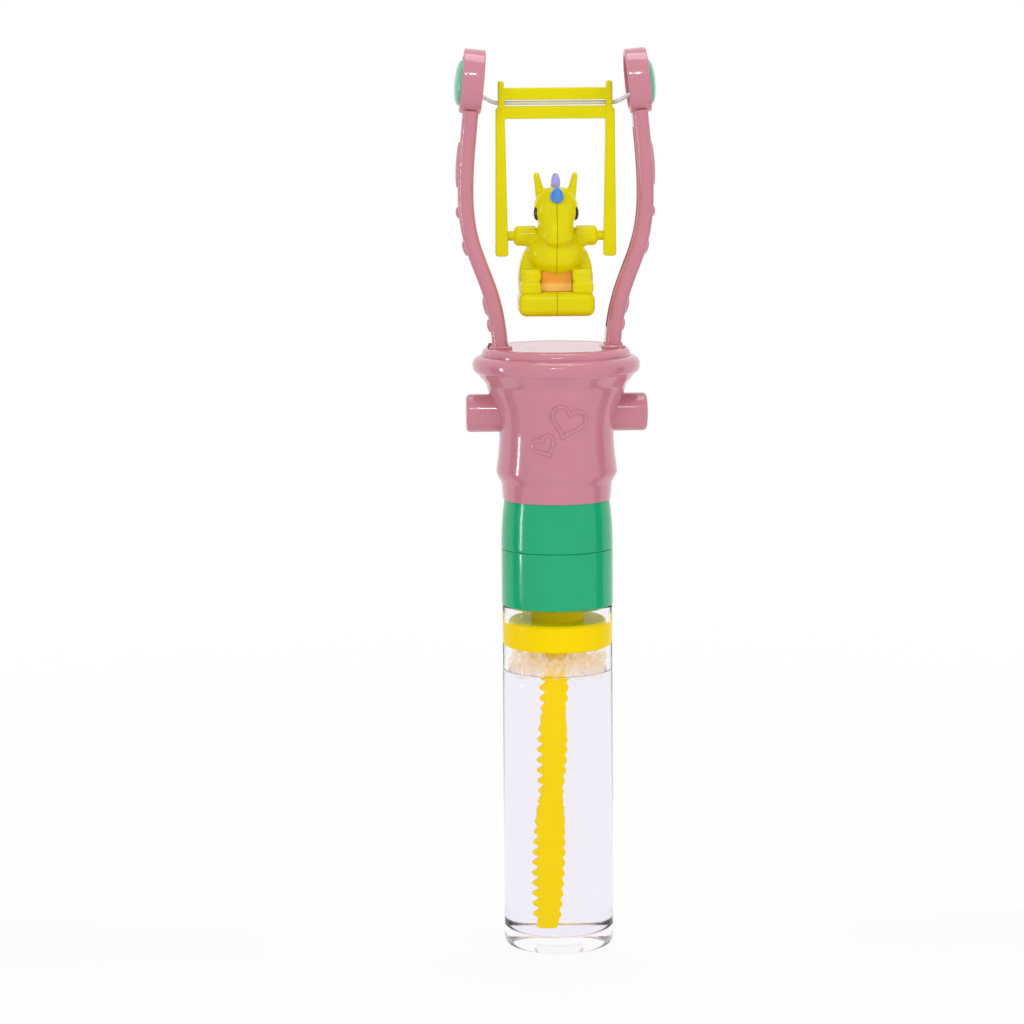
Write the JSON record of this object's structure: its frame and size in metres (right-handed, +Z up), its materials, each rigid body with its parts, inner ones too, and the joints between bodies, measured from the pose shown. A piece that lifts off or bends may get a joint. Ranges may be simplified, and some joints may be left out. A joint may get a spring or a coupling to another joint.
{
  "type": "bubble wand with squeeze swing",
  "caption": "Handheld bubble wand: a clear tube of solution, a ribbed wand on a stopper, and a squeeze toy on top whose sprung arms tighten a string and flip a small figure on a swing.",
  "frame": {"origin": "centre of the tube's foot, on the surface it stands on", "axes": "+Z up along the tube, +X to the right seen from the front, the front faces -Y"},
  "size_m": [0.0598, 0.0502, 0.2711],
  "materials": {
    "clear_tube": "clear moulded plastic, polished",
    "solution": "clear bubble solution, faint lavender tint",
    "wand_yellow": "moulded yellow plastic, satin gloss",
    "collar_green": "moulded green plastic, satin gloss",
    "body_pink": "moulded dusty pink plastic, glossy",
    "swing_yellow": "moulded lemon plastic, glossy",
    "horn_blue": "sprayed blue over plastic",
    "crest_lavender": "sprayed lavender over plastic",
    "steel": "bright steel",
    "string_white": "twisted white string"
  },
  "bodies": {
    "tube": {"tube": "clear_tube", "bubble_solution": "solution"},
    "head": {"wand": "wand_yellow", "collar": "collar_green", "neck": "collar_green", "front_shell": "body_pink", "back_shell": "body_pink", "top_cover": "body_pink", "shell_screws": "steel", "left_pivot_pin": "steel", "right_pivot_pin": "steel", "return_spring": "steel", "string_left": "string_white", "string_middle": "string_white", "string_right": "string_white"},
    "left_arm": {"left_arm": "body_pink", "left_cap": "collar_green", "left_knot": "string_white"},
    "right_arm": {"right_arm": "body_pink", "right_cap": "collar_green", "right_knot": "string_white"},
    "left_button": {"left_button": "body_pink"},
    "right_button": {"right_button": "body_pink"},
    "swing": {"swing_frame": "swing_yellow"},
    "figure": {"figure_left": "swing_yellow", "figure_right": "swing_yellow", "figure_horn": "horn_blue", "figure_crest": "crest_lavender"}
  },
  "joints": [
    {"name": "wand_pull", "type": "slide", "parent": "tube", "child": "head", "axis": [0, 0, 1], "range_m": [0, 0.12]},
    {"name": "left_arm_tip", "type": "hinge", "parent": "head", "child": "left_arm", "pos_m": [-0.01655, 0, 0.17485], "axis": [0, -1, 0], "range_deg": [0, 3.5], "stiffness_Nm_per_rad": 0.6, "deforming": ["string_left", "return_spring"]},
    {"name": "right_arm_tip", "type": "hinge", "parent": "head", "child": "right_arm", "pos_m": [0.01655, 0, 0.17485], "axis": [0, 1, 0], "range_deg": [0, 3.5], "stiffness_Nm_per_rad": 0.6, "deforming": ["string_right", "return_spring"]},
    {"name": "left_button_press", "type": "slide", "parent": "head", "child": "left_button", "axis": [1, 0, 0], "range_m": [0, 0.00118]},
    {"name": "right_button_press", "type": "slide", "parent": "head", "child": "right_button", "axis": [-1, 0, 0], "range_m": [0, 0.00118]},
    {"name": "swing_flip", "type": "hinge", "parent": "head", "child": "swing", "pos_m": [0, 0, 0.25485], "axis": [1, 0, 0], "continuous": true},
    {"name": "figure_turn", "type": "hinge", "parent": "swing", "child": "figure", "pos_m": [0, 0, 0.21545], "axis": [1, 0, 0], "continuous": true}
  ],
  "couplings": [
    {"joint": "left_button_press", "follows": "left_arm_tip", "m_per_rad": 0.019174},
    {"joint": "right_button_press", "follows": "right_arm_tip", "m_per_rad": 0.019174}
  ]
}
